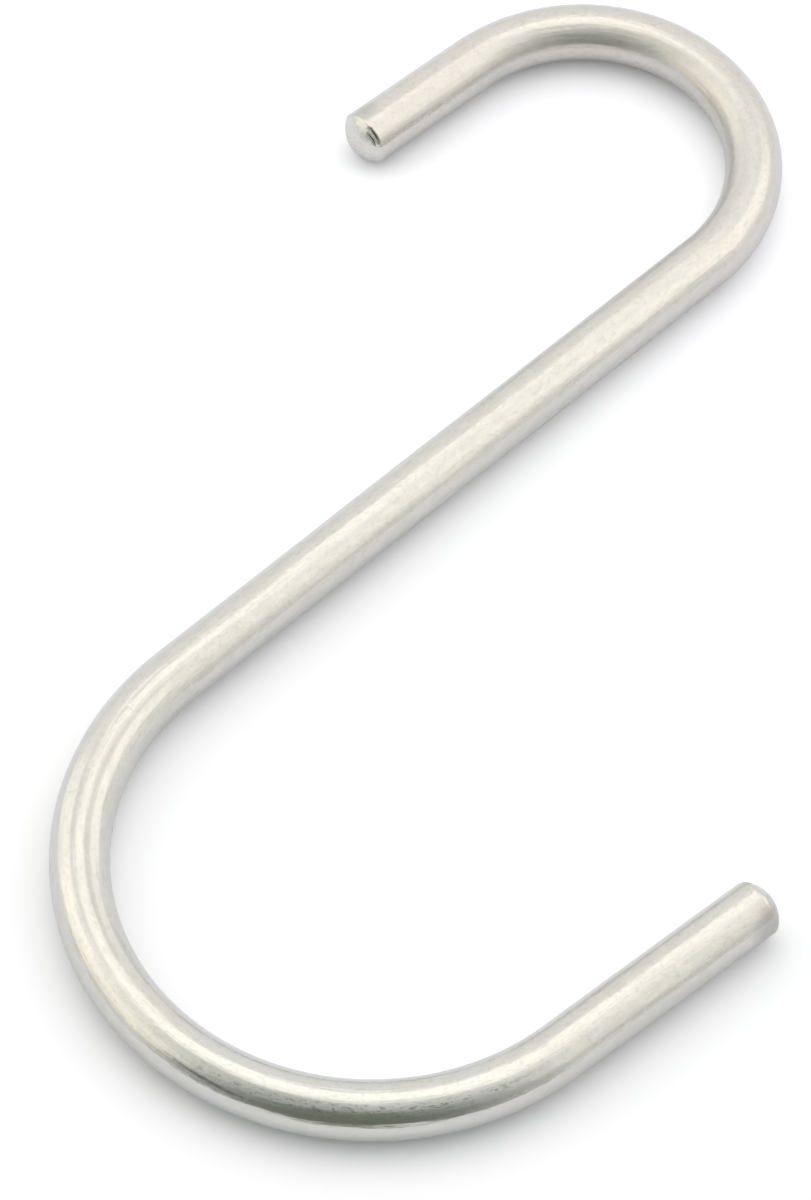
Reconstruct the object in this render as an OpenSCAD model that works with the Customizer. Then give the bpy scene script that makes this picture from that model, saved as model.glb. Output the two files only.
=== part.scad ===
// S hook: one length of round steel wire bent into a small hook at one end
// and a large hook at the other, lying flat on the surface it is put down on.
// The shank runs along Y, the small hook is at +Y and opens towards -Y,
// and the large hook is at -Y and opens towards +Y.
// Sizes are in millimetres. The origin is the middle of the hook's footprint.

/* [Wire] */
// Diameter of the round wire
wire_d = 4.8; // [3:0.1:6]
// Height of the domed end of a leg, as a share of the wire diameter
dome_share = 0.25; // [0.1:0.05:0.4]

/* [Overall] */
// Length from the crown of the small hook to the crown of the large one
hook_l = 102; // [90:1:140]

/* [Small hook] */
// Clear width between the shank and the short leg, where the bend ends
small_gap = 23.7; // [16:0.1:30]
// Angle that the small bend turns the wire through
small_sweep = 177.4; // [160:0.1:180]
// Straight length of the short leg, without its domed end
small_leg = 12.3; // [6:0.1:24]

/* [Large hook] */
// Clear width between the shank and the long leg, where the bend ends
large_gap = 41; // [30:0.1:50]
// Angle that the large bend turns the wire through
large_sweep = 176.1; // [160:0.1:180]
// Straight length of the long leg, without its domed end
large_leg = 20; // [8:0.1:32]

/* [Hidden] */
$fn = 96;

wire_r = wire_d / 2;

// The dome is a cap cut from a ball that meets the wire's side at a crisp rim.
dome_h = dome_share * wire_d;
dome_r = (wire_r * wire_r + dome_h * dome_h) / (2 * dome_h);

// Bend radii run to the middle of the wire.
small_bend_r = (small_gap + wire_d) / 2;
large_bend_r = (large_gap + wire_d) / 2;
shank_l = hook_l - small_bend_r - large_bend_r - wire_d;

// How far each hook reaches sideways and endways from its end of the shank.
// A leg leans out by whatever its bend lacks of a half turn,
// so the rim at the leg's end is the widest place.
function reach_side(bend_r, sweep, leg_l) =
    let (lean = 180 - sweep)
    bend_r + (bend_r + wire_r) * cos(lean) + leg_l * sin(lean);
function reach_end(bend_r) = shank_l / 2 + bend_r + wire_r;

side_min = -reach_side(small_bend_r, small_sweep, small_leg);
side_max = reach_side(large_bend_r, large_sweep, large_leg);
end_min = -reach_end(large_bend_r);
end_max = reach_end(small_bend_r);

// Straight wire from the origin along +Y.
module straight(length) {
    rotate([-90, 0, 0])
        cylinder(h = length, r = wire_r);
}

// The rounded end of the wire, from the origin along +Y.
module end_dome() {
    rotate([-90, 0, 0])
        intersection() {
            cylinder(h = dome_h, r = wire_r);
            translate([0, 0, dome_h - dome_r])
                sphere(r = dome_r);
        }
}

// A ring of wire about the origin, cut down to the stretch that runs
// from the +X axis round to the angle of the sweep.
module bend(bend_r, sweep) {
    cutter_l = 2 * (bend_r + wire_d);
    difference() {
        rotate([0, 0, -90])
            rotate_extrude()
                translate([bend_r, 0])
                    circle(r = wire_r);
        translate([-cutter_l / 2, -cutter_l, -wire_d])
            cube([cutter_l, cutter_l, 2 * wire_d]);
        rotate([0, 0, sweep])
            translate([-cutter_l / 2, 0, -wire_d])
                cube([cutter_l, cutter_l, 2 * wire_d]);
    }
}

// One hook: a bend that starts at the origin along +Y and turns towards -X,
// then the straight leg with its domed end.
module hook_end(bend_r, sweep, leg_l) {
    translate([-bend_r, 0, 0]) {
        bend(bend_r, sweep);
        rotate([0, 0, sweep])
            translate([bend_r, 0, 0]) {
                straight(leg_l);
                translate([0, leg_l, 0])
                    end_dome();
            }
    }
}

module s_hook() {
    color("silver")
        translate([-(side_min + side_max) / 2, -(end_min + end_max) / 2, wire_r])
            union() {
                translate([0, -shank_l / 2, 0])
                    straight(shank_l);
                translate([0, shank_l / 2, 0])
                    hook_end(small_bend_r, small_sweep, small_leg);
                rotate([0, 0, 180])
                    translate([0, shank_l / 2, 0])
                        hook_end(large_bend_r, large_sweep, large_leg);
            }
}

s_hook();
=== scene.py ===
# %% [markdown]
# An S hook is one length of round steel wire with a small hook bent at one end and a large
# hook at the other. The imported CAD model is the frame: it fixes where the hook lies and
# how big it is, and the looks are made around it. The CAD box is kept, and the shank is
# placed by it.

# %% Load the frame
import math
import bmesh
import bpy
from mathutils import Matrix, Vector, noise


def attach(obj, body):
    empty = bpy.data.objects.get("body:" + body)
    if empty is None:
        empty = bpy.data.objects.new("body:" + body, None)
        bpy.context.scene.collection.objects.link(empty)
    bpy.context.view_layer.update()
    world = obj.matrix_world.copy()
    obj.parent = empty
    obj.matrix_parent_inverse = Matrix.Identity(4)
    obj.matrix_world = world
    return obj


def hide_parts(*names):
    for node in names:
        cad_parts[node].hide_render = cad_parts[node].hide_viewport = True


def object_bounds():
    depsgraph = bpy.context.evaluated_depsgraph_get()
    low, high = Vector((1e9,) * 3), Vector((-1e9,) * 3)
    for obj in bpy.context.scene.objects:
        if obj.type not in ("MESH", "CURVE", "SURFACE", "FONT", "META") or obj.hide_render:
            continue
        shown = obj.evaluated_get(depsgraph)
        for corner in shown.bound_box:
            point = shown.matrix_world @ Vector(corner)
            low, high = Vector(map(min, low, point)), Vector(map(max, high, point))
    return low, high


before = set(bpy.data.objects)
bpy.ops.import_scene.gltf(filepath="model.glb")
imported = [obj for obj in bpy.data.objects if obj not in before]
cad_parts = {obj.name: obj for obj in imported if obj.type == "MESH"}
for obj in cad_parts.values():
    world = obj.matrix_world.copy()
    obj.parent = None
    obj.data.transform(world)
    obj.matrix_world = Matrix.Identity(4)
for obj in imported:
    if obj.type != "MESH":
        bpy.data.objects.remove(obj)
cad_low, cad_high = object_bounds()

MM = 0.001
print("CAD box in mm:", [round(v / MM, 2) for v in cad_high - cad_low])

# %% [markdown]
# The camera looks down on the hook from in front of the large bend, from
# about half a metre. A long lens keeps the two bends close to their true
# proportions. It has to come first because a small object is judged by its
# outline, and the outline depends on the place of the camera alone.

# %% Camera
AIM = Vector((-2.832, -6.136, 0.0)) * MM
TOWARDS_CAMERA = Vector((0.4012, -0.3864, 0.8305)).normalized()
CAMERA_AWAY = 502.1
CAMERA_ROLL = 0.00465
LENS, SENSOR = 186.2, 36.0
CLIP = 0.01, 20.0

scene = bpy.context.scene
scene.view_settings.view_transform = "Standard"
camera_data = bpy.data.cameras.new("camera")
camera_data.lens, camera_data.sensor_width = LENS, SENSOR
camera_data.clip_start, camera_data.clip_end = CLIP
camera = bpy.data.objects.new("camera", camera_data)
scene.collection.objects.link(camera)
camera.location = AIM + TOWARDS_CAMERA * CAMERA_AWAY * MM
camera.rotation_mode = "QUATERNION"
camera.rotation_quaternion = (
    (-TOWARDS_CAMERA).to_track_quat("-Z", "Y").to_matrix()
    @ Matrix.Rotation(CAMERA_ROLL, 3, "Z")
).to_quaternion()
scene.camera = camera
print("camera is", round((camera.location - AIM).length, 4), "m from the aim")

# %% [markdown]
# Nodes are what a Blender material or world is made of. They could be placed
# by hand in the node editor, but a script can be read and changed in one
# place. A few small helpers keep it readable. One adds a node and sets its
# options, one fills a socket with a number or with another node's result, two
# do sums on numbers and on vectors, and the last makes a soft step.

# %% Adding nodes
def add(tree, kind, **options):
    node = tree.nodes.new(kind)
    for name, value in options.items():
        setattr(node, name, value)
    return node


def plug(tree, socket, value):
    if isinstance(value, bpy.types.NodeSocket):
        tree.links.new(value, socket)
    else:
        socket.default_value = value


# %% Sums and soft steps
def calc(tree, operation, *values):
    node = add(tree, "ShaderNodeMath", operation=operation)
    for socket, value in zip(node.inputs, values):
        plug(tree, socket, value)
    return node.outputs[0]


def vcalc(tree, operation, *values):
    node = add(tree, "ShaderNodeVectorMath", operation=operation)
    for socket, value in zip(node.inputs, values):
        plug(tree, socket, value)
    scalar = operation in ("DOT_PRODUCT", "LENGTH")
    return node.outputs["Value" if scalar else "Vector"]


def split(tree, vector):
    """The X, Y and Z of a vector."""
    node = add(tree, "ShaderNodeSeparateXYZ")
    plug(tree, node.inputs[0], vector)
    return node.outputs


def step(tree, value, start, end, low=0.0, high=1.0):
    """low up to start, high from end on, and a soft change between."""
    node = add(tree, "ShaderNodeMapRange", interpolation_type="SMOOTHSTEP")
    for name, v in (("Value", value), ("From Min", start), ("From Max", end),
                    ("To Min", low), ("To Max", high)):
        plug(tree, node.inputs[name], v)
    return node.outputs["Result"]


# %% [markdown]
# Polished metal shows the room around it more than its own colour, so the
# studio matters as much as the material. Everything in it is placed by its
# direction from the hook, as the camera sees it. Panels have soft borders,
# and a soft border is a step on each of the panel's two axes.

# %% Directions in the studio
CAMERA_AZIMUTH = math.atan2(TOWARDS_CAMERA.y, TOWARDS_CAMERA.x)


def studio_direction(azimuth, elevation):
    """Azimuth 0 is to the right as the camera sees it, and 90 is away."""
    a = CAMERA_AZIMUTH + math.radians(azimuth + 90)
    e = math.radians(elevation)
    return Vector((math.cos(a) * math.cos(e), math.sin(a) * math.cos(e),
                   math.sin(e)))


def facing(azimuth, elevation):
    """Across, up and outward axes of a panel that faces the hook."""
    out = studio_direction(azimuth, elevation)
    across = Vector((-out.y, out.x, 0)).normalized()
    return across, out.cross(across), out


def soft_rectangle(tree, offsets, sizes, edges):
    """1 inside a rectangle and 0 outside, with borders of these widths."""
    inside = 1.0
    for offset, size, edge in zip(offsets, sizes, edges):
        border = step(tree, calc(tree, "ABSOLUTE", offset),
                      (size - edge) / 2, (size + edge) / 2, 1, 0)
        inside = calc(tree, "MULTIPLY", inside, border)
    return inside


print("right of the camera's view:", [round(v, 2) for v in studio_direction(0, 0)])

# %% [markdown]
# The room is a white light tent that is pale at the back and grey in front,
# where it is open. It could be built from sheets, but it is far away and only
# its tone matters, so it is painted on the world as one soft step. It is
# nearly neutral, and a little brighter upwards. Polished metal and glass see
# it a little brighter than the rest does, and the camera sees plain white in
# its place.

# %% White tent
BACK_OF_TENT = studio_direction(62, 0)
OPENING, BACK = -0.55, 0.35
FRONT_LEVEL, BACK_LEVEL, RISE_UPWARDS = 0.43, 1.00, 0.18
FRONT_TINT, BACK_TINT = (0.965, 1.0, 1.0, 1), (1.0, 1.0, 1.0, 1)

world = bpy.data.worlds.new("studio")
scene.world = world
world.use_nodes = True
sky = world.node_tree
sky.nodes.clear()
direction = add(sky, "ShaderNodeTexCoord").outputs["Generated"]
to_back = vcalc(sky, "DOT_PRODUCT", direction, BACK_OF_TENT)
height = vcalc(sky, "DOT_PRODUCT", direction, (0, 0, 1))
level = calc(sky, "MULTIPLY_ADD", height, RISE_UPWARDS,
             step(sky, to_back, OPENING, BACK, FRONT_LEVEL, BACK_LEVEL))
tint = add(sky, "ShaderNodeMix", data_type="RGBA")
plug(sky, tint.inputs[0], step(sky, to_back, OPENING, BACK))
tint.inputs[6].default_value = FRONT_TINT
tint.inputs[7].default_value = BACK_TINT
print("tent level, front and back:", FRONT_LEVEL, BACK_LEVEL)

# %% What the camera and the metal see of it
PLAIN_SHARE, METAL_EXTRA = 0.98, 0.02

sky_rays = add(sky, "ShaderNodeLightPath")
seen = sky_rays.outputs["Is Camera Ray"]
white = seen
for kind in ("Is Glossy Ray", "Is Transmission Ray"):
    white = calc(sky, "MAXIMUM", white, sky_rays.outputs[kind])
level = calc(sky, "MULTIPLY", level,
             calc(sky, "MULTIPLY_ADD", white, METAL_EXTRA, PLAIN_SHARE))
level = calc(sky, "MAXIMUM", seen,
             calc(sky, "MULTIPLY", level, calc(sky, "SUBTRACT", 1.0, seen)))
clear = add(sky, "ShaderNodeMix", data_type="RGBA")
plug(sky, clear.inputs[0], seen)
sky.links.new(tint.outputs[2], clear.inputs[6])
clear.inputs[7].default_value = (1, 1, 1, 1)
light_out = add(sky, "ShaderNodeBackground")
sky.links.new(clear.outputs[2], light_out.inputs["Color"])
plug(sky, light_out.inputs["Strength"], level)
sky.links.new(light_out.outputs[0], add(sky, "ShaderNodeOutputWorld").inputs[0])
print("nodes in the room:", len(sky.nodes))

# %% [markdown]
# Five soft boxes stand around the hook. They are area lamps at a real
# distance, so that their reflections move along the wire as they do on a
# table. A soft box is brightest in the middle: the lamp's own nodes fade it
# towards its edges, and this gives the soft borders of the bright bands.
# The lamps are a little warm and the tent is neutral, so the bright bands
# turn out creamy and the sides of the wire stay grey.

# %% Sizes of the soft boxes
# azimuth, elevation, distance, lit width and height, soft edge (mm), glow
SOFT_BOXES = {
    "overhead": (105.4, 76.5, 473, 314, 349, 140, 0.47),
    "right": (5.9, 38.7, 286, 575, 154, 100, 0.19),
    "left": (175.3, 22.0, 339, 517, 294, 110, 0.42),
    "rear_right": (17.7, 41.9, 264, 222, 270, 85, 0.20),
    "far_left": (181, 38.5, 960, 837, 889, 320, 0.40),
}
LAMP_TINT = (1.05, 1.0, 0.87, 1)
print("soft boxes:", ", ".join(SOFT_BOXES))


# %% Soft boxes
def soft_box(name, azimuth, elevation, distance, width, height, soft, glow):
    """A lamp that faces the hook, with sizes in mm."""
    lamp = bpy.data.lights.new(name, "AREA")
    lamp.shape = "RECTANGLE"
    lamp.size, lamp.size_y = (width + soft) * MM, (height + soft) * MM
    lamp.energy = glow * math.pi * lamp.size * lamp.size_y
    lamp.use_nodes = True
    nodes = lamp.node_tree
    nodes.nodes.clear()
    place = split(nodes, add(nodes, "ShaderNodeNewGeometry").outputs["Parametric"])
    offsets = [calc(nodes, "MULTIPLY_ADD", place[k], side + soft,
                    -(side + soft) / 2)
               for k, side in enumerate((width, height))]
    glowing = add(nodes, "ShaderNodeEmission")
    glowing.inputs["Color"].default_value = LAMP_TINT
    plug(nodes, glowing.inputs["Strength"],
         soft_rectangle(nodes, offsets, (width, height), (soft, soft)))
    nodes.links.new(glowing.outputs[0],
                    add(nodes, "ShaderNodeOutputLight").inputs[0])
    box = bpy.data.objects.new(name, lamp)
    scene.collection.objects.link(box)
    turn = Matrix(facing(azimuth, elevation)).transposed()
    box.matrix_world = Matrix.LocRotScale(
        studio_direction(azimuth, elevation) * distance * MM,
        turn.to_quaternion(), None)
    return lamp


for name, sizes in SOFT_BOXES.items():
    print(name, "energy:", round(soft_box(name, *sizes).energy, 4), "W")

# %% [markdown]
# A dark cloth hangs in front of the large bend and reaches down past the
# table. Its reflection draws the dark band that tells the eye that the bend
# is round and bright. A dark patch on the tent would look the same all along
# the wire, but the cloth is near, so it shows darker in the large bend than
# in the small one. Its edges are thin enough to let some light through. The
# camera looks through it, as otherwise it would stand in the way.

# %% Hang the dark cloth
CLOTH_AZIMUTH, CLOTH_AWAY = 263, 230
CLOTH_SIZES, CLOTH_EDGES = (255, 440), (170, 260)

bpy.ops.mesh.primitive_plane_add(size=1)
cloth = bpy.context.object
cloth.name = "dark_cloth"
across, up, out = facing(CLOTH_AZIMUTH, 0)
turn = Matrix((across, up, out)).transposed()
wide, tall = (size + edge for size, edge in zip(CLOTH_SIZES, CLOTH_EDGES))
cloth.matrix_world = Matrix.LocRotScale(
    out * CLOTH_AWAY * MM, turn.to_quaternion(),
    Vector((wide * MM, tall * MM, 1.0)))
cloth.visible_camera = False
print("dark cloth is", wide, "by", tall, "mm and", CLOTH_AWAY, "mm away")

# %% Felt with thin edges
FELT = (0.185, 0.200, 0.172, 1)

felt = bpy.data.materials.new("dark_felt")
felt.use_nodes = True
weave = felt.node_tree
weave.nodes.clear()
place = split(weave, add(weave, "ShaderNodeTexCoord").outputs["Object"])
offsets = [calc(weave, "MULTIPLY", place[k], side)
           for k, side in enumerate((wide, tall))]
dark_side = add(weave, "ShaderNodeBsdfDiffuse")
dark_side.inputs["Color"].default_value = FELT
covered = add(weave, "ShaderNodeMixShader")
plug(weave, covered.inputs[0],
     soft_rectangle(weave, offsets, CLOTH_SIZES, CLOTH_EDGES))
weave.links.new(add(weave, "ShaderNodeBsdfTransparent").outputs[0],
                covered.inputs[1])
weave.links.new(dark_side.outputs[0], covered.inputs[2])
weave.links.new(covered.outputs[0],
                add(weave, "ShaderNodeOutputMaterial").inputs[0])
cloth.data.materials.append(felt)
print("felt nodes:", len(weave.nodes))

# %% [markdown]
# The hook lies on a plain white table. A diffuse surface is enough, and it is large so
# that its edge is out of sight in every view. More light would turn it white, but would
# bleach the hook too. So it is a little paler to the camera than to the light that bounces
# between it and the hook. Beside the small hook it is palest to the camera and a little
# bluer: this is painted light, which lightens the hook's shadow there. The hook's shadow
# stays. Far from the hook the lamps no longer reach the table, and there it fades to plain
# white.

# %% Table top
TABLE_SIZE = 12

bpy.ops.mesh.primitive_plane_add(size=TABLE_SIZE)
table = bpy.context.object
table.name = "table"
paper = bpy.data.materials.new("white_table")
paper.use_nodes = True
card = paper.node_tree
card.nodes.clear()
table.data.materials.append(paper)
print("table is", TABLE_SIZE, "m wide")

# %% How pale the table is
CARD_TONE, MIRRORED_EXTRA = 0.945, 0.055
# to the camera the table is paler by the first number, and beside the small hook by the
# second; the rise between them is painted light
SEEN_EXTRA, SMALL_HOOK_PAINTED_LIGHT = 0.13, 0.23
PAINTED_LIGHT_FROM, PAINTED_LIGHT_TO = -0.01, 0.045
CARD_RED, CARD_BLUE, BLUE_RISE, MIRRORED_BLUE = 0.995, 1.004, 0.2, 0.03

spot = add(card, "ShaderNodeNewGeometry").outputs["Position"]
rays = add(card, "ShaderNodeLightPath")
seen = rays.outputs["Is Camera Ray"]
mirrored = calc(card, "MAXIMUM", rays.outputs["Is Glossy Ray"],
                rays.outputs["Is Transmission Ray"])
# painted light: to the camera the table gets paler towards the small hook, and bluer too,
# which lightens the hook's shadow there
tone_with_painted_light = step(card, split(card, spot)[1], PAINTED_LIGHT_FROM, PAINTED_LIGHT_TO,
                     SEEN_EXTRA, SMALL_HOOK_PAINTED_LIGHT)
tone = calc(card, "MULTIPLY_ADD", mirrored, MIRRORED_EXTRA, CARD_TONE)
tone = calc(card, "MULTIPLY_ADD", seen, tone_with_painted_light, tone)
blue = calc(card, "MULTIPLY_ADD", tone_with_painted_light, BLUE_RISE, CARD_BLUE)
blue = calc(card, "MULTIPLY_ADD", mirrored, MIRRORED_BLUE, blue)
shade = add(card, "ShaderNodeCombineXYZ")
for k, share in enumerate((CARD_RED, 1.0, blue)):
    plug(card, shade.inputs[k], calc(card, "MULTIPLY", tone, share))
diffuse = add(card, "ShaderNodeBsdfDiffuse")
plug(card, diffuse.inputs["Color"], shade.outputs[0])
print("table tone:", CARD_TONE, "and to the camera",
      round(CARD_TONE + SEEN_EXTRA, 3), "to", round(CARD_TONE + SMALL_HOOK_PAINTED_LIGHT, 3))

# %% Fade to white
WHITE_FROM, WHITE_TO = 0.09, 0.16

white = add(card, "ShaderNodeEmission")
far = step(card, vcalc(card, "LENGTH", spot), WHITE_FROM, WHITE_TO)
far = calc(card, "MULTIPLY", far, calc(card, "MAXIMUM", seen, mirrored))
fade_out = add(card, "ShaderNodeMixShader")
plug(card, fade_out.inputs[0], far)
card.links.new(diffuse.outputs[0], fade_out.inputs[1])
card.links.new(white.outputs[0], fade_out.inputs[2])
card.links.new(fade_out.outputs[0],
               add(card, "ShaderNodeOutputMaterial").inputs[0])
print("table is plain white from", WHITE_TO, "m on")

# %% [markdown]
# The wire follows one centre line: the short leg, the small bend, the shank,
# the large bend and the long leg. Its sizes are those of the CAD model. The
# line is worked out from the middle of the shank, and then moved so that the
# outer sides of its two bends meet the sides of the CAD box.

# %% Sizes of the hook
HOOK_LENGTH, WIRE_R = 102, 2.4
SMALL_R, SMALL_TURN, SMALL_LEG = 14.25, math.radians(177.4), 12.3
LARGE_R, LARGE_TURN, LARGE_LEG = 22.9, math.radians(176.1), 20.0
SHANK = HOOK_LENGTH - SMALL_R - LARGE_R - 2 * WIRE_R
PARTS = [SMALL_LEG, SMALL_R * SMALL_TURN, SHANK, LARGE_R * LARGE_TURN,
         LARGE_LEG]
WIRE_LENGTH = sum(PARTS)
print("straightened wire is", round(WIRE_LENGTH, 1), "mm long")


# %% Place of the shank
def reach(bend_r, turn, leg):
    """How far a hook reaches sideways from the middle of the shank."""
    lean = math.pi - turn
    return bend_r + (bend_r + WIRE_R) * math.cos(lean) + leg * math.sin(lean)


cad_middle = (cad_low + cad_high) / (2 * MM)
SHANK_PLACE = Vector((
    cad_middle.x + (reach(SMALL_R, SMALL_TURN, SMALL_LEG)
                    - reach(LARGE_R, LARGE_TURN, LARGE_LEG)) / 2,
    cad_middle.y + (LARGE_R - SMALL_R) / 2,
    cad_low.z / MM + WIRE_R))
print("middle of the shank:", [round(v, 3) for v in SHANK_PLACE])


# %% Centre line of the wire
def turned(centre, radius, angle, side):
    """A point on a bend and its heading; side is 1 for the small bend."""
    spot = centre + side * radius * Vector((math.cos(angle), math.sin(angle)))
    return spot, side * Vector((-math.sin(angle), math.cos(angle)))


def centre_line(run):
    """Point and heading at a distance from the short leg's end, in mm."""
    half = SHANK / 2
    small_centre = Vector((-SMALL_R, half))
    large_centre = Vector((LARGE_R, -half))
    left = run - PARTS[0]
    if left < 0:
        spot, heading = turned(small_centre, SMALL_R, SMALL_TURN, 1)
        return spot - heading * left, -heading
    if left < PARTS[1]:
        spot, heading = turned(small_centre, SMALL_R,
                               SMALL_TURN - left / SMALL_R, 1)
        return spot, -heading
    left -= PARTS[1]
    if left < PARTS[2]:
        return Vector((0, half - left)), Vector((0, -1))
    left -= PARTS[2]
    if left < PARTS[3]:
        return turned(large_centre, LARGE_R, left / LARGE_R, -1)
    spot, heading = turned(large_centre, LARGE_R, LARGE_TURN, -1)
    return spot + heading * (left - PARTS[3]), heading


for run in (0, WIRE_LENGTH):
    print("end of the wire:", [round(v, 1) for v in centre_line(run)[0]])

# %% [markdown]
# The wire was cut and then tumbled, so each end is a shallow dome that meets
# the round side at a small worn rim. A cut sphere and a bevel would do for a
# clean end. Here the outline runs over the end as one line, from the side
# over the rim to the middle of the dome. It is read by its length from the
# rim, so that rings can be put close together where the small damage is and
# far apart along the plain wire.

# %% Outline of an end
DOME_H = 1.2
DOME_R = (WIRE_R ** 2 + DOME_H ** 2) / (2 * DOME_H)
LEAD_IN, RIM_POINTS, DOME_POINTS = 2.0, 24, 120


def end_outline(rim):
    """Points (past the straight part, radius), and their lengths from the rim."""
    sink = DOME_R - DOME_H
    start = math.asin(WIRE_R / DOME_R) - rim / DOME_R
    corner, outer = (0.0, WIRE_R), (-rim, WIRE_R)
    inner = (DOME_R * math.cos(start) - sink, DOME_R * math.sin(start))
    points = [(-LEAD_IN, WIRE_R)]
    for k in range(RIM_POINTS + 1):
        t = k / RIM_POINTS
        points.append(tuple((1 - t) ** 2 * a + 2 * t * (1 - t) * b + t * t * c
                            for a, b, c in zip(outer, corner, inner)))
    for k in range(1, DOME_POINTS + 1):
        angle = start * (1 - k / DOME_POINTS)
        points.append((DOME_R * math.cos(angle) - sink,
                       DOME_R * math.sin(angle)))
    lengths = [0.0]
    for one, two in zip(points, points[1:]):
        lengths.append(lengths[-1] + math.dist(one, two))
    at_rim = (lengths[1] + lengths[RIM_POINTS + 1]) / 2
    return points, [v - at_rim for v in lengths]


# %% Rings on an end
FINE, PLAIN_DOME, PLAIN_BODY = 0.045, 0.15, 0.30
BEFORE_RIM, FINE_FROM, FINE_TO, POLE_GAP = 1.0, -0.35, 0.80, 0.1
SHORT_RIM, LONG_RIM = 0.10, 0.26


def end_rings(rim):
    """(length from the rim, past, radius, outward direction) of each ring."""
    points, lengths = end_outline(rim)
    arcs, arc = [], -BEFORE_RIM
    while arc < lengths[-1] - POLE_GAP:
        arcs.append(arc)
        arc += FINE if FINE_FROM < arc < FINE_TO else PLAIN_DOME
    found, k = [], 0
    for arc in arcs:
        while lengths[k + 1] < arc:
            k += 1
        t = (arc - lengths[k]) / (lengths[k + 1] - lengths[k])
        (x0, r0), (x1, r1) = points[k], points[k + 1]
        way = Vector((x1 - x0, r1 - r0)).normalized()
        found.append((arc, x0 + (x1 - x0) * t, r0 + (r1 - r0) * t,
                      (-way.y, way.x)))
    return found


short_end, long_end = end_rings(SHORT_RIM), end_rings(LONG_RIM)
print("rings on the ends:", len(short_end), len(long_end))

# %% [markdown]
# The ends carry the only real damage. The rim of the short leg has a crease of two dark
# furrows side by side, left by the cutter. The rim of the long leg is a little ragged on
# its upper side. A bump in the material would leave the outline smooth, so all of it is
# pushed into the mesh. A value beside it tells the shader how much painted shade to lay
# into the furrows.

# %% Damage on the ends
# end, mm past the rim, first and last angle, half width and depth in mm
FURROWS = [("short", 0.05, 107, 146, 0.19, 0.17),
           ("short", 0.43, 114, 150, 0.12, 0.12),
           ("long", -0.02, 38, 49, 0.16, 0.07),
           ("long", 0.00, 54, 62, 0.14, 0.06)]
# how dark the painted shade in the furrows of each end is, and its own layer of the noise
FURROW_SHADE_STRENGTH = {"short": 1.5, "long": 0.8}
LAYER = {"short": 5.0, "long": 9.0}
# how fine each part of the rim's wear is, and its depth in mm
RIM_WIDTH, RIM_WEAR = 0.45, ((0.8, 0.030), (2.6, 0.018))
RAGGED, BLUNT = 0.05, 0.4


def bell(value):
    """1 in the middle, and 0 from 1 outwards on both sides."""
    return max(0.0, 1 - value * value) ** 2


def damage(end, arc, angle):
    """How far in the surface is pushed, in mm, and how much painted shade it gets."""
    around = Vector((2 * math.cos(angle), 2 * math.sin(angle), LAYER[end]))
    push = bell(arc / RIM_WIDTH) * sum(depth * noise.noise(around * size)
                                       for size, depth in RIM_WEAR)
    painted_shade = 0.0
    turn = math.degrees(angle) % 360
    for which, past, first, last, half, depth in FURROWS:
        if which != end or not first < turn < last:
            continue
        along = 2 * (turn - first) / (last - first) - 1
        ragged = RAGGED * noise.noise(Vector((turn * 0.19, past * 9, 1.5)))
        cut = bell((arc - past - ragged) / half) * bell(along) ** BLUNT
        push += cut * depth
        # painted shade: the furrows are darkened in the colour, as shade falls in them
        painted_shade = max(painted_shade, min(1.0, FURROW_SHADE_STRENGTH[end] * cut))
    return push, painted_shade


print("furrows:", len(FURROWS))

# %% [markdown]
# A curve with a round bevel would give this tube at once. The mesh is built
# ring by ring instead, because each point also keeps its place on the straight
# wire, before bending. Drawing marks the wire before it is bent, so a texture
# that reads that place follows the wire round both bends without a seam. A
# slow unevenness makes the reflections waver, as they do on drawn wire. It
# never reaches below the table.

# %% Place and relief of a point
# cells per mm across and along the wire, shift, and depth in mm
UNEVEN = [(0.25, 0.09, (3, 7, 1), 0.018), (0.75, 0.16, (9, 2, 5), 0.012)]


def bent_place(run, x, z):
    """Where a point of the straight wire goes once the wire is bent."""
    inside = min(max(run, 0.0), WIRE_LENGTH)
    spot, heading = centre_line(inside)
    spot = spot + heading * (run - inside)
    side = Vector((-heading.y, heading.x))
    flat = spot + side * x
    return (Vector((flat.x, flat.y, z)) + SHANK_PLACE) * MM


def relief(straight):
    """Slow unevenness of the drawn wire, in mm, outwards."""
    x, run, z = straight
    return sum(depth * noise.noise(
        Vector((x * across, run * along, z * across)) + Vector(shift))
        for across, along, shift, depth in UNEVEN)


print("relief is up to", sum(row[-1] for row in UNEVEN), "mm")

# %% Rings of the whole wire
body_length = WIRE_LENGTH - 2 * BEFORE_RIM
body_rings = round(body_length / PLAIN_BODY)
rings = [("short", arc, -past, radius, (-way[0], way[1]))
         for arc, past, radius, way in reversed(short_end)]
rings += [("body", None, BEFORE_RIM + body_length * k / body_rings, WIRE_R, (0, 1))
          for k in range(1, body_rings)]
rings += [("long", arc, WIRE_LENGTH + past, radius, way)
          for arc, past, radius, way in long_end]
print("rings on the wire:", len(rings))

# %% Wire mesh
AROUND = 120

mesh = bpy.data.meshes.new("s_hook_wire")
made = bmesh.new()
before = made.verts.layers.float_vector.new("straight")
furrow_shade = made.verts.layers.float.new("furrow_shade")
loops = []
for end, arc, run, radius, way in rings:
    loop = []
    for k in range(AROUND):
        angle = 2 * math.pi * k / AROUND
        straight = Vector((radius * math.cos(angle), run,
                           radius * math.sin(angle)))
        push, painted_shade = damage(end, arc, angle) if end != "body" else (0.0, 0.0)
        r = radius + relief(straight) * radius / WIRE_R - push * way[1]
        vert = made.verts.new(bent_place(
            run - push * way[0], r * math.cos(angle),
            max(r * math.sin(angle), -WIRE_R)))
        vert[before] = straight
        # how much painted shade this point of the furrows gets
        vert[furrow_shade] = painted_shade
        loop.append(vert)
    loops.append(loop)
for one, two in zip(loops, loops[1:]):
    for k in range(AROUND):
        n = (k + 1) % AROUND
        made.faces.new((one[k], one[n], two[n], two[k]))
print("rings joined:", len(loops))

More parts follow.
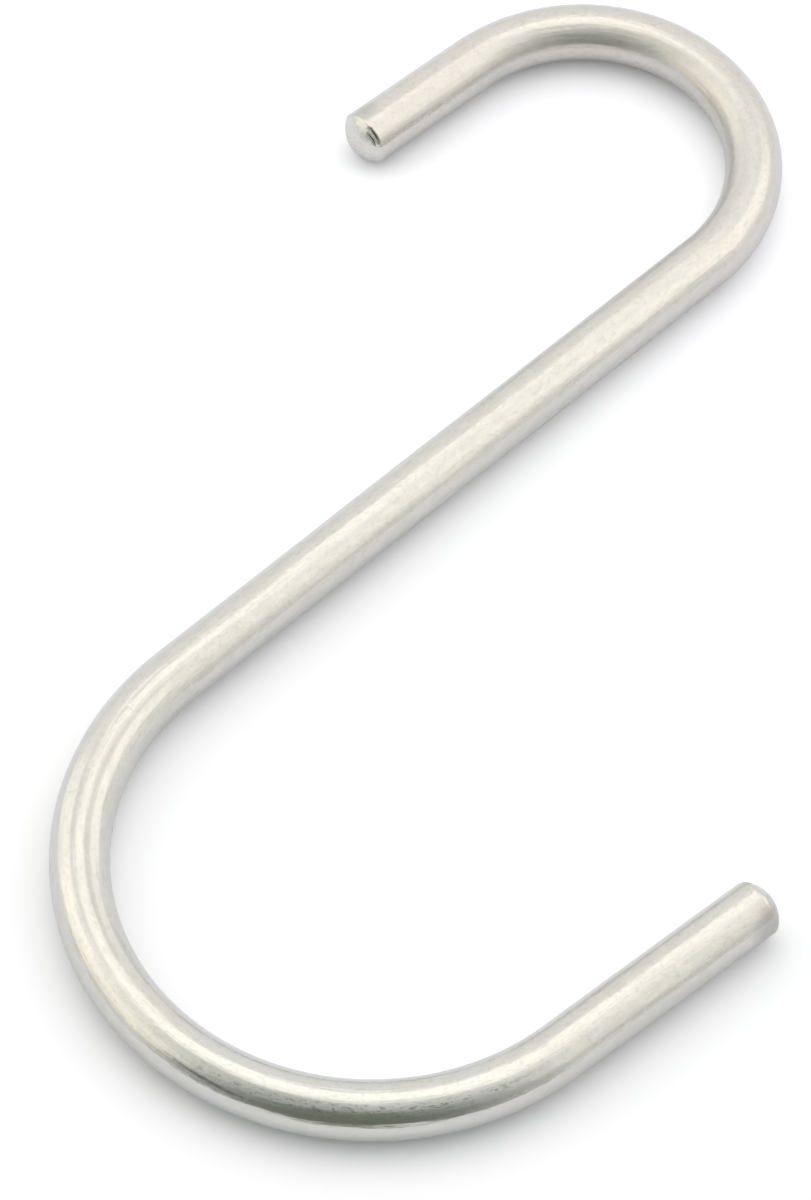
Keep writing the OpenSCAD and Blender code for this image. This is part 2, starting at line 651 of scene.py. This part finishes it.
# %% Close the ends
for loop, run in ((loops[0], -DOME_H), (loops[-1], WIRE_LENGTH + DOME_H)):
    pole = made.verts.new(bent_place(run, 0, 0))
    pole[before] = Vector((0, run, 0))
    for k in range(AROUND):
        made.faces.new((loop[k], loop[(k + 1) % AROUND], pole))
bmesh.ops.recalc_face_normals(made, faces=made.faces)
for face in made.faces:
    face.smooth = True
made.to_mesh(mesh)
made.free()
hook = bpy.data.objects.new("s_hook_wire", mesh)
scene.collection.objects.link(hook)
print("hook faces:", len(mesh.polygons))

# %% [markdown]
# The steel is bright but not mirror polished: it was drawn, bent and then
# tumbled. Drawing leaves long wavy lines, tumbling leaves a soft hammered
# mottle, and handling leaves a few pits. Each of these is one pattern on the
# straight wire. A painted picture could carry them, but a pattern has no
# seam and stays sharp. They work mostly by tilting the surface a little,
# because a tilt of one degree moves a reflection by two.

# %% Steel shader
EDGE_TINT = (0.95, 0.99, 1.0, 1)

steel = bpy.data.materials.new("satin_steel")
steel.use_nodes = True
tree = steel.node_tree
tree.nodes.clear()
shader = add(tree, "ShaderNodeBsdfPrincipled")
shader.inputs["Metallic"].default_value = 1.0
shader.inputs["Specular Tint"].default_value = EDGE_TINT
tree.links.new(shader.outputs[0],
               add(tree, "ShaderNodeOutputMaterial").inputs[0])
mesh.materials.append(steel)
on_wire = add(tree, "ShaderNodeAttribute",
              attribute_name="straight").outputs["Vector"]
# painted shade in the furrows of the ends, as stored in the mesh
furrow_shade_value = add(tree, "ShaderNodeAttribute",
             attribute_name="furrow_shade").outputs["Fac"]
run_here = split(tree, on_wire)[1]
print("shader reads:", [v.name for v in mesh.attributes if v.domain == "POINT"])


# %% Drawn lines, mottle and flecks
def grain(across, along, detail=2.0, rough=0.5, shift=0.0):
    """Noise with so many cells per mm across the wire and along it."""
    scaled = vcalc(tree, "MULTIPLY_ADD", on_wire, (across, along, across),
                   (shift, shift, shift))
    node = add(tree, "ShaderNodeTexNoise")
    plug(tree, node.inputs["Vector"], scaled)
    node.inputs["Scale"].default_value = 1.0
    node.inputs["Detail"].default_value = detail
    node.inputs["Roughness"].default_value = rough
    return node.outputs[0]


lines = grain(across=1.3, along=0.07, shift=5.0)
mottle = grain(across=1.5, along=0.7, rough=0.45)
fine = grain(across=7.0, along=2.0, detail=1.0, shift=3.0)
specks = grain(across=3.0, along=2.0, rough=0.6, shift=11.0)
specks = step(tree, specks, 0.50, 0.70)
torn = grain(across=5.0, along=1.5, rough=0.65, shift=21.0)
torn = step(tree, torn, 0.53, 0.63)
print("patterns use", len(tree.nodes), "nodes")

# %% [markdown]
# Small pits are scattered by chance, one in some of the cells of a pattern.
# Other marks are the hook's own and have their places. They could be painted
# by hand, but an oval on the straight wire needs only a few numbers: where
# it is along the wire, its angle round it (90 is on top), and half its
# length and width. Some ovals have a ragged edge.

# %% Scattered pits
PIT_CELLS = (0.8, 0.35, 0.8)
CHOSEN_FROM, LARGEST_PIT, SMALLEST_PIT = 0.82, 0.065, 0.02
PIT_BORDER = (-0.05, 0.01)

cells = add(tree, "ShaderNodeTexVoronoi")
plug(tree, cells.inputs["Vector"], vcalc(tree, "MULTIPLY", on_wire, PIT_CELLS))
cells.inputs["Scale"].default_value = 1.0
chosen = split(tree, cells.outputs["Color"])[0]
pit_size = step(tree, chosen, CHOSEN_FROM, 1.0, 0.0, LARGEST_PIT)
pits = step(tree, calc(tree, "SUBTRACT", cells.outputs["Distance"], pit_size),
            *PIT_BORDER, 1.0, 0.0)
pits = calc(tree, "MULTIPLY", pits,
            calc(tree, "GREATER_THAN", pit_size, SMALLEST_PIT))
print("half width of the largest pit:", round(LARGEST_PIT / PIT_CELLS[0], 2), "mm")


# %% An oval mark
OVAL_FADE = 1.4


def mark(at, angle, along, across, slant=0.0, edge=0.0, ragged=0.0):
    """1 inside an oval on the wire and 0 outside; sizes are half, in mm."""
    a, tip = math.radians(angle), math.radians(slant)
    middle = Vector((WIRE_R * math.cos(a), at, WIRE_R * math.sin(a)))
    u, v = Vector((0, 1, 0)), Vector((-math.sin(a), 0, math.cos(a)))
    u, v = (u * math.cos(tip) + v * math.sin(tip),
            v * math.cos(tip) - u * math.sin(tip))
    from_middle = vcalc(tree, "SUBTRACT", on_wire, middle)
    far = 0.0
    for axis in (u / along, v / across):
        side = vcalc(tree, "DOT_PRODUCT", from_middle, axis)
        far = calc(tree, "ADD", far, calc(tree, "POWER", side, 2.0))
    if ragged:
        far = calc(tree, "MULTIPLY_ADD", calc(tree, "SUBTRACT", fine, 0.5),
                   ragged, far)
    return step(tree, far, edge, OVAL_FADE, 1.0, 0.0)


def strongest(values):
    """The largest of several values, and 0 at least."""
    most = 0.0
    for value in values:
        most = calc(tree, "MAXIMUM", most, value)
    return most


print("an oval reaches", round(math.sqrt(OVAL_FADE), 2), "times its half sizes")

# %% [markdown]
# The end of the long leg has a brown stain, two dots and a bright dent, and each end has a
# darker grey patch. The shank and the large bend have one more dot and a few dents. Two
# faint dark lines on the left of the large bend are painted reflection: they darken the
# colour where the bright ribbons part. Farther on, a dark scratch starts a worn band of
# short streaks. The inner side of the small hook has stayed matte. All of these are laid
# in by the same oval, so that a mark can be moved by changing one row.

# %% Marks with a place of their own
# place along the wire, angle, half length, half width and, if any, slant,
# in mm and degrees
DOTS = [(WIRE_LENGTH - 0.55, 83, 0.05, 0.04),
        (WIRE_LENGTH - 0.70, 177, 0.08, 0.06),
        (71.35, -14, 0.11, 0.11)]
DENTS = [(WIRE_LENGTH - 3.35, 127.5, 0.70, 0.20, 8),
         (130.6, 119, 0.20, 0.38), (74.0, 33, 0.40, 0.16),
         (62.1, 100, 0.45, 0.14), (122.0, 84, 0.20, 0.32, 10)]
STAIN = (WIRE_LENGTH - 0.2, 122, 1.2, 1.0)
WORN_BAND = (170.0, 121, 13.5, 0.50)
SCRATCH = (158.9, 136.5, 3.6, 0.14, 2.4)
MATTE_SIDE = (44.0, 141, 46, 1.6)

dots = [mark(*dot, edge=0.2, ragged=2.0) for dot in DOTS]
pits = strongest([pits] + dots)
dents = strongest([mark(*dent) for dent in DENTS])
stain = calc(tree, "MULTIPLY", mark(*STAIN), step(tree, mottle, 0.3, 0.6))
streaks = calc(tree, "MULTIPLY", mark(*WORN_BAND, edge=0.1), torn)
scratch = mark(*SCRATCH, edge=0.1, ragged=1.6)
matte_side = mark(*MATTE_SIDE)
print("dots and dents:", len(DOTS), len(DENTS))

# %% Painted dark lines and grey patches
# the first rows are painted reflection: dark lines in the colour where the bright ribbons
# on the left of the large bend part; the second rows darken a grey patch near each end
# strength, then as above
PAINTED_DARK_LINES = [(0.20, 133, 72.5, 17, 0.27, 0.9), (0.10, 138, 101, 11, 0.25)]
GREY_PATCHES = [(0.45, 0.9, 66, 1.2, 1.2), (0.75, WIRE_LENGTH - 0.2, 166, 2.4, 1.7)]

painted_dark_lines, grey_patches = [
    strongest([calc(tree, "MULTIPLY", mark(*sizes), strength)
               for strength, *sizes in rows])
    for rows in (PAINTED_DARK_LINES, GREY_PATCHES)]
print("painted dark lines and smears:", len(PAINTED_DARK_LINES), len(GREY_PATCHES))

# %% [markdown]
# The bare steel is a warm grey with a faint mottle. It is a little warmer round the small
# hook, and a little cooler at the front of the large bend, where the wire is also
# smoothest. The domes are palest. Each tone could be a material of its own, but then it
# would end at an edge. So they are laid over the steel one after the other, each as a
# colour and a soft amount. The dark marks and the painted shade in the furrows make the
# steel rougher as well.

# %% Regions of the wire
WARM_UNTIL, NOT_WARM_FROM = 45.0, 75.0
BEND_FRONT, FRONT_HALF, FRONT_FADE = 168.0, 8.0, 18.0
BEND_LEFT, LEFT_HALF, LEFT_FADE = 130.0, 10.0, 24.0
INSIDE_DOME = -0.4

from_end = calc(tree, "MINIMUM", run_here,
                calc(tree, "SUBTRACT", WIRE_LENGTH, run_here))


def near(place, half, fade, inside, outside):
    """One value within half of a place on the wire, another past the fade."""
    away = calc(tree, "ABSOLUTE", calc(tree, "SUBTRACT", run_here, place))
    return step(tree, away, half, fade, inside, outside)


def near_front(inside, outside):
    return near(BEND_FRONT, FRONT_HALF, FRONT_FADE, inside, outside)


def on_dome(gone_by, value):
    """A value on the domes, gone by so many mm before the end of the wire."""
    return step(tree, from_end, INSIDE_DOME, gone_by, value, 0.0)


print("front of the large bend:", BEND_FRONT, "mm along the wire")

# %% Colour
STEEL_GREY, STEEL_PALE = (0.621, 0.600, 0.554, 1), (0.658, 0.635, 0.588)
# colour of the pits, streaks and scratch, and of the painted shade in the furrows
DIRT_AND_SHADE_COLOUR = (0.130, 0.125, 0.110)


def coloured(under, amount, tone):
    """A tone laid over another colour, by an amount from 0 to 1."""
    node = add(tree, "ShaderNodeMix", data_type="RGBA")
    plug(tree, node.inputs[0], amount)
    plug(tree, node.inputs[6], under)
    node.inputs[7].default_value = (*tone, 1)
    return node.outputs[2]


# how much of each tone is laid on, and the tone
LAYERS = {
    "mottle": (step(tree, mottle, 0.3, 0.7), STEEL_PALE),
    "warm small hook": (step(tree, run_here, WARM_UNTIL, NOT_WARM_FROM, 0.35, 0.0),
                        (0.665, 0.620, 0.575)),
    "cool front": (near_front(0.5, 0.0), (0.605, 0.620, 0.585)),
    "pale domes": (on_dome(0.0, 0.4), (0.690, 0.690, 0.655)),
    "grey_patches": (grey_patches, (0.420, 0.412, 0.380)),
    # painted reflection: dark lines where the bright ribbons part
    "painted dark lines": (painted_dark_lines, (0.200, 0.170, 0.150)),
    "specks": (calc(tree, "MULTIPLY", specks, 0.14), (0.360, 0.330, 0.270)),
    "stain": (calc(tree, "MULTIPLY", stain, 0.55), (0.420, 0.385, 0.330)),
}
colour = STEEL_GREY
for amount, tone in LAYERS.values():
    colour = coloured(colour, amount, tone)
# dark marks: pits, streaks and the scratch, and the painted shade in the furrows
dark = strongest([furrow_shade_value] + [
    calc(tree, "MULTIPLY", dirty, strength)
    for dirty, strength in ((pits, 0.65), (streaks, 0.55), (scratch, 0.75))])
tree.links.new(coloured(colour, dark, DIRT_AND_SHADE_COLOUR), shader.inputs["Base Color"])
print("colour layers:", ", ".join(LAYERS))

# %% Gloss
SATIN, SATIN_MATTE = 0.20, 0.26
DOME_MATTE, FRONT_POLISH, DARK_MARKS_MATTE, INNER_MATTE = 0.04, -0.04, 0.30, 0.16

gloss = calc(tree, "ADD", step(tree, fine, 0.35, 0.7, SATIN, SATIN_MATTE),
             on_dome(0.1, DOME_MATTE))
gloss = calc(tree, "ADD", gloss, near_front(FRONT_POLISH, 0.0))
gloss = calc(tree, "MULTIPLY_ADD", dark, DARK_MARKS_MATTE, gloss)
gloss = calc(tree, "MULTIPLY_ADD", matte_side, INNER_MATTE, gloss)
tree.links.new(gloss, shader.inputs["Roughness"])
print("roughness of the plain wire:", SATIN, "to", SATIN_MATTE)

# %% [markdown]
# Last comes the tilt of the surface. Relief this low could be pushed into
# the mesh, but only with many times as many faces, and the outline would not
# show it. Each bump node takes the tilt of the one before it, so the coarse
# pattern comes first and the fine ones ride on it. The drawn lines are deeper
# on the left of the large bend, where they break the reflection into ribbons,
# and the mottle is weaker at its front.

# %% Tilt of the surface
LINE_DEPTH, MOTTLE_DEPTH, FINE_DEPTH, HOLLOW_DEPTH = 0.060, 0.028, 0.004, 0.03
DEEPER_LINES, WEAKER_MOTTLE = 1.4, 0.55


def tilt(height, depth, under=None):
    """A bump of so many mm for a height that goes from 0 to 1."""
    node = add(tree, "ShaderNodeBump")
    node.inputs["Distance"].default_value = depth * MM
    plug(tree, node.inputs["Height"], height)
    if under is not None:
        tree.links.new(under, node.inputs["Normal"])
    return node.outputs[0]


deeper = near(BEND_LEFT, LEFT_HALF, LEFT_FADE, DEEPER_LINES, 1.0)
bumps = tilt(calc(tree, "MULTIPLY", lines, deeper), LINE_DEPTH)
bumps = tilt(calc(tree, "MULTIPLY", mottle, near_front(WEAKER_MOTTLE, 1.0)),
             MOTTLE_DEPTH, bumps)
bumps = tilt(fine, FINE_DEPTH, bumps)
hollows = 0.0
for hollow, share in ((dents, 0.5), (pits, 0.5), (streaks, 0.15)):
    hollows = calc(tree, "MULTIPLY_ADD", hollow, share, hollows)
bumps = tilt(calc(tree, "MULTIPLY", hollows, -1.0), HOLLOW_DEPTH, bumps)
tree.links.new(bumps, shader.inputs["Normal"])
print("steel nodes:", len(tree.nodes))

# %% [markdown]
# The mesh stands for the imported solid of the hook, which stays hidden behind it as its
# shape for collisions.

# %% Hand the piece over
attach(hook, "root")
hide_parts("s_hook")
print(hook.name, "rides on root and stands for s_hook")
